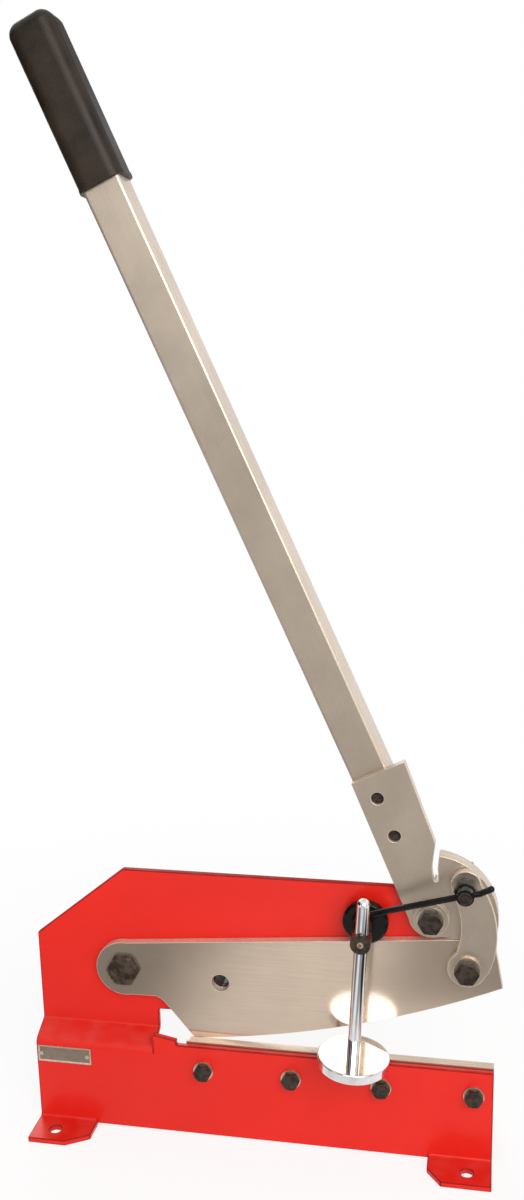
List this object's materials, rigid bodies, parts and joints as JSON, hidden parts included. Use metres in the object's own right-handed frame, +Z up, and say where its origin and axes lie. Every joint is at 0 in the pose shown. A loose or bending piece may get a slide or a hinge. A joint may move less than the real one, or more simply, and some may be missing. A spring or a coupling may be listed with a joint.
{
  "type": "bench lever shear",
  "caption": "Bench lever shear: cranked plate frame on feet, fixed lower blade, pivoted upper blade driven through a link by a long hand lever, rod hold-down and safety hook.",
  "frame": {"origin": "on the bench, in the middle of the bench bolts; Y = 0 is the upper frame plate's front face", "axes": "+X along the jaw to its open end, +Y away from the user, +Z up"},
  "size_m": [0.4705, 0.1465, 1.0649],
  "materials": {
    "frame_paint": "bright red gloss enamel on bent plate",
    "blade_steel": "ground tool steel, satin",
    "lever_steel": "plated steel, warm grey, satin",
    "black_bolts": "blackened steel, satin",
    "black_paint": "black gloss",
    "zinc_washers": "bright zinc",
    "bare_label": "bare satin metal label, with nothing on it",
    "bronze": "plain bronze bush",
    "grip_rubber": "black moulded grip, soft gloss",
    "chrome_rod": "polished chrome"
  },
  "bodies": {
    "frame": {"frame_plate": "frame_paint", "rear_foot_left": "frame_paint", "rear_foot_right": "frame_paint", "rear_gussets": "frame_paint", "lower_blade": "blade_steel", "lower_blade_bolts": "black_bolts", "lower_blade_washers": "zinc_washers", "name_plate": "bare_label", "plate_rivets": "bare_label", "bar_die": "black_bolts", "blade_pivot_bolt": "black_bolts", "blade_pivot_washer": "zinc_washers", "blade_pivot_nut": "black_bolts", "lever_pivot_bolt": "black_bolts", "lever_pivot_washer": "zinc_washers", "lever_back_washer": "zinc_washers", "lever_pivot_nut": "black_bolts", "clamp_spacer": "black_paint", "clamp_disc": "black_paint", "clamp_washer": "zinc_washers"},
    "upper_blade": {"upper_blade": "blade_steel", "blade_bush": "bronze"},
    "lever": {"lever_bracket": "lever_steel", "ear_doubler": "lever_steel", "hub_bush": "bronze", "lever_tube": "lever_steel", "tube_bolts": "black_bolts", "lever_grip": "grip_rubber", "crank_pin": "black_bolts", "crank_nut": "black_bolts", "hook_retainer": "black_bolts"},
    "link": {"link_plate": "lever_steel", "link_pin": "black_bolts", "link_washer": "zinc_washers"},
    "hook": {"safety_hook": "black_paint"},
    "clamp": {"clamp_stud": "black_bolts", "clamp_nut": "black_bolts", "clamp_screw": "black_bolts"},
    "holddown": {"holddown_rod": "chrome_rod", "holddown_foot": "chrome_rod"}
  },
  "joints": [
    {"name": "lever_turn", "type": "hinge", "parent": "frame", "child": "lever", "pos_m": [0.17, 0, 0.253], "axis": [0, 1, 0], "range_deg": [0, 90]},
    {"name": "blade_swing", "type": "hinge", "parent": "frame", "child": "upper_blade", "pos_m": [-0.138, 0, 0.1735], "axis": [0, 1, 0], "range_deg": [0, 11.52]},
    {"name": "link_swing", "type": "hinge", "parent": "lever", "child": "link", "pos_m": [0.20214, 0, 0.2913], "axis": [0, 1, 0], "range_deg": [-79.65, 0]},
    {"name": "hook_lift", "type": "hinge", "parent": "lever", "child": "hook", "pos_m": [0.20214, 0, 0.2913], "axis": [0, 1, 0], "range_deg": [0, 50]},
    {"name": "holddown_swivel", "type": "hinge", "parent": "frame", "child": "clamp", "pos_m": [0.108, 0, 0.24497], "axis": [0, 1, 0], "range_deg": [-6, 6]},
    {"name": "holddown_slide", "type": "slide", "parent": "clamp", "child": "holddown", "axis": [0.0645, 0, 0.9979], "range_m": [-0.008, 0.05]}
  ],
  "couplings": [
    {"joint": "blade_swing", "follows": "lever_turn", "ratio": 0.128},
    {"joint": "link_swing", "follows": "lever_turn", "ratio": -0.885}
  ]
}
